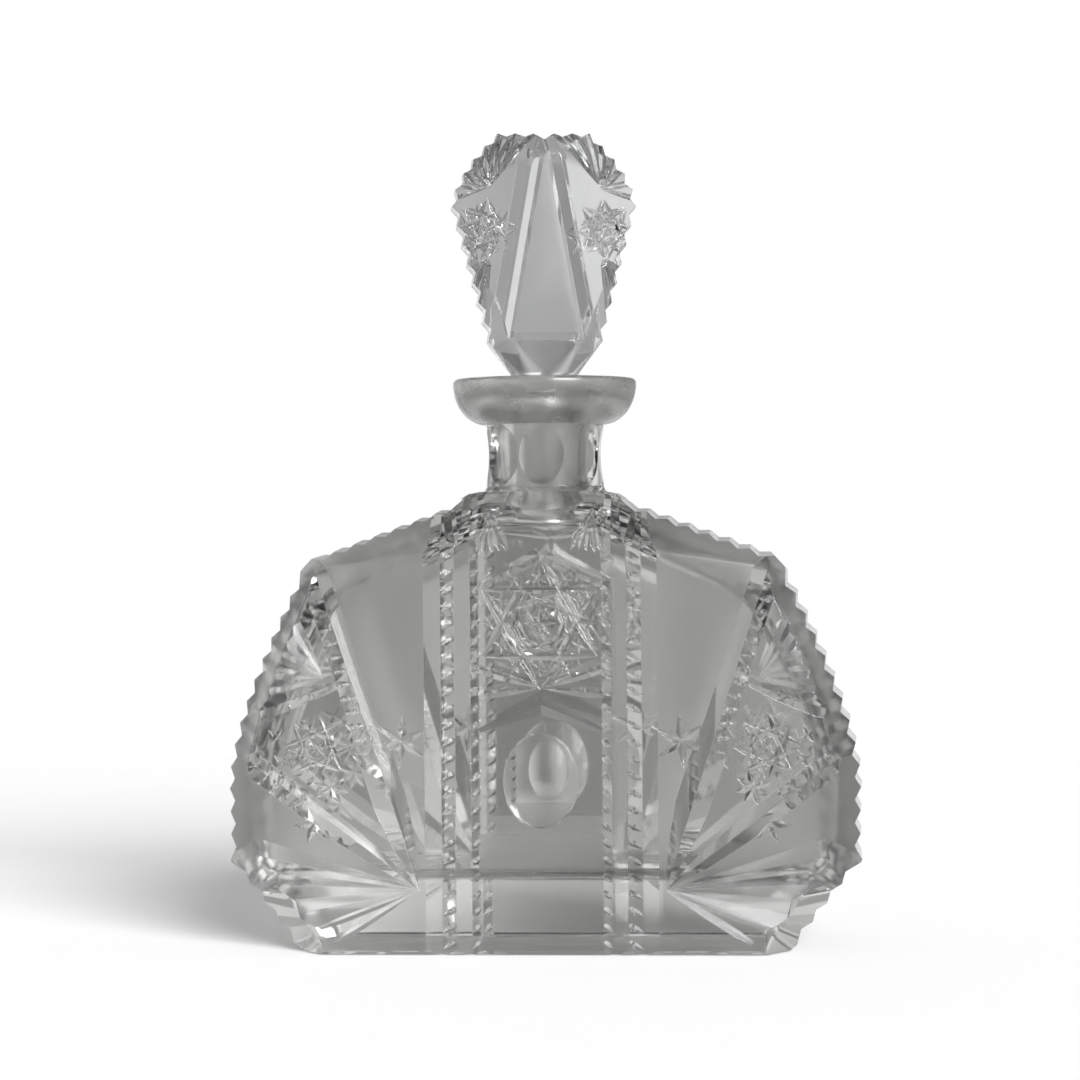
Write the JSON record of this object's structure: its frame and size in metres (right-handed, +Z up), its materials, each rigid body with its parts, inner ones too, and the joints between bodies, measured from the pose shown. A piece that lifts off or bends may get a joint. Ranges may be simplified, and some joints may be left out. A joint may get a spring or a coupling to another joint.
{
  "type": "glass decanter",
  "caption": "Flat fan-shaped cut-crystal decanter with serrated edges, fluted neck and flared lip, closed by a ground-in stopper that lifts out.",
  "frame": {"origin": "middle of the flat base that the bottle stands on", "axes": "+Z up through the neck, X across the broad face, -Y out of the front face"},
  "size_m": [0.1906, 0.06, 0.2455],
  "materials": {
    "bottle_crystal": "clear crystal, wheel-cut and polished, with satin plain panels",
    "stopper_crystal": "clear crystal, wheel-cut and polished, ground plug"
  },
  "bodies": {
    "bottle": {"bottle": "bottle_crystal"},
    "stopper": {"stopper": "stopper_crystal"}
  },
  "joints": [
    {"name": "stopper_lift", "type": "slide", "parent": "bottle", "child": "stopper", "axis": [0, 0, 1], "range_m": [0, 0.06]}
  ]
}
